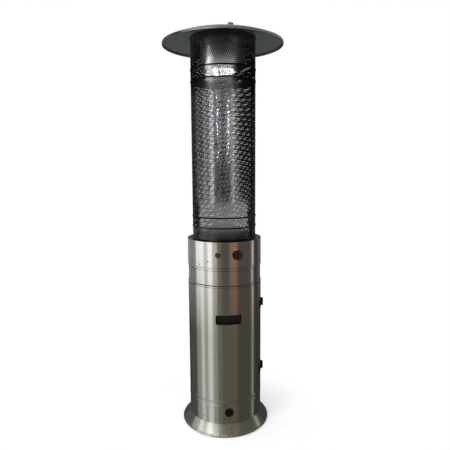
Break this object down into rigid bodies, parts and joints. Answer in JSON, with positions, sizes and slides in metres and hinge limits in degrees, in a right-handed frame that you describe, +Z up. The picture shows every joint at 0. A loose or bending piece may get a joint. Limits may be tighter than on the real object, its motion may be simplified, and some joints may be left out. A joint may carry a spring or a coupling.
{
  "type": "gas patio heater",
  "caption": "Round free-standing gas patio heater: stainless bottle housing with a hinged door, glass flame tube in a black mesh guard, dish reflector on top.",
  "frame": {"origin": "centre of the base on the floor, between the feet", "axes": "+Z up, -Y to the front with the knob and the door, +X to the right seen from the front"},
  "size_m": [0.61, 0.61, 2.0698],
  "materials": {
    "stainless": "brushed stainless sheet",
    "zinc_steel": "zinc plated steel",
    "black_enamel": "gloss black stove enamel",
    "black_hardware": "black coated steel",
    "black_plastic": "moulded black plastic",
    "red_plastic": "moulded red plastic",
    "rubber": "black rubber",
    "cast_alloy": "die cast",
    "brass": "turned brass",
    "ceramic": "white ceramic fibre and glazed ceramic",
    "quartz": "clear quartz"
  },
  "bodies": {
    "heater": {"base_flare": "stainless", "lower_collar": "stainless", "housing_shell": "stainless", "control_drum": "stainless", "deck_ring": "stainless", "reflector": "stainless", "tube_collar": "stainless", "base_plate": "zinc_steel", "base_bolts": "zinc_steel", "bottle_locator": "zinc_steel", "stop_ring": "zinc_steel", "valve_bracket": "zinc_steel", "hose_clips": "zinc_steel", "regulator_bracket": "zinc_steel", "shelf_plate": "zinc_steel", "emitter_legs": "zinc_steel", "reflector_studs": "zinc_steel", "wing_nuts": "zinc_steel", "pilot_tube": "zinc_steel", "burner_head": "zinc_steel", "guard_rods": "black_enamel", "guard_hoops": "black_enamel", "guard_mesh": "black_enamel", "emitter_screen": "black_enamel", "emitter_cap": "black_enamel", "burner_deck": "black_enamel", "burner_cup": "black_enamel", "frame_hinge_leaves": "black_hardware", "hinge_pins": "black_hardware", "housing_screws": "black_hardware", "flare_screws": "black_hardware", "vent_grille": "black_plastic", "knob_bezel": "black_plastic", "igniter_bezel": "black_plastic", "igniter_body": "black_plastic", "tilt_switch": "black_plastic", "magnet_catch": "black_plastic", "rubber_feet": "rubber", "gas_hose": "rubber", "gas_valve": "cast_alloy", "regulator": "cast_alloy", "feed_tube": "brass", "jet_holder": "brass", "thermocouple": "brass", "spark_electrode": "ceramic", "igniter_lead": "ceramic", "lower_gasket": "ceramic", "upper_gasket": "ceramic", "glass_tube": "quartz"},
    "door": {"door_panel": "stainless", "handle_cup": "black_plastic", "door_hinge_leaves": "black_hardware", "strike_plate": "zinc_steel"},
    "spindle_slider": {"spindle_retainer": "zinc_steel"},
    "knob": {"valve_spindle": "zinc_steel", "control_knob": "black_plastic"},
    "button": {"igniter_button": "red_plastic"},
    "coupling": {"coupling_nut": "brass"}
  },
  "joints": [
    {"name": "door_hinge", "type": "hinge", "parent": "heater", "child": "door", "pos_m": [0.19904, -0.02797, 0.4745], "axis": [0, 0, 1], "range_deg": [0, 115]},
    {"name": "knob_push", "type": "slide", "parent": "heater", "child": "spindle_slider", "axis": [-0.2351, 0.972, 0], "range_m": [0, 0.003], "stiffness_N_per_m": 900},
    {"name": "knob_turn", "type": "hinge", "parent": "spindle_slider", "child": "knob", "pos_m": [0.04703, -0.19439, 0.946], "axis": [0.2351, -0.972, 0], "range_deg": [0, 180]},
    {"name": "igniter_push", "type": "slide", "parent": "heater", "child": "button", "axis": [0.2622, 0.965, 0], "range_m": [0, 0.005], "stiffness_N_per_m": 400},
    {"name": "coupling_turn", "type": "hinge", "parent": "heater", "child": "coupling", "pos_m": [0, 0.1, 0.704], "axis": [0, 1, 0], "continuous": true}
  ]
}
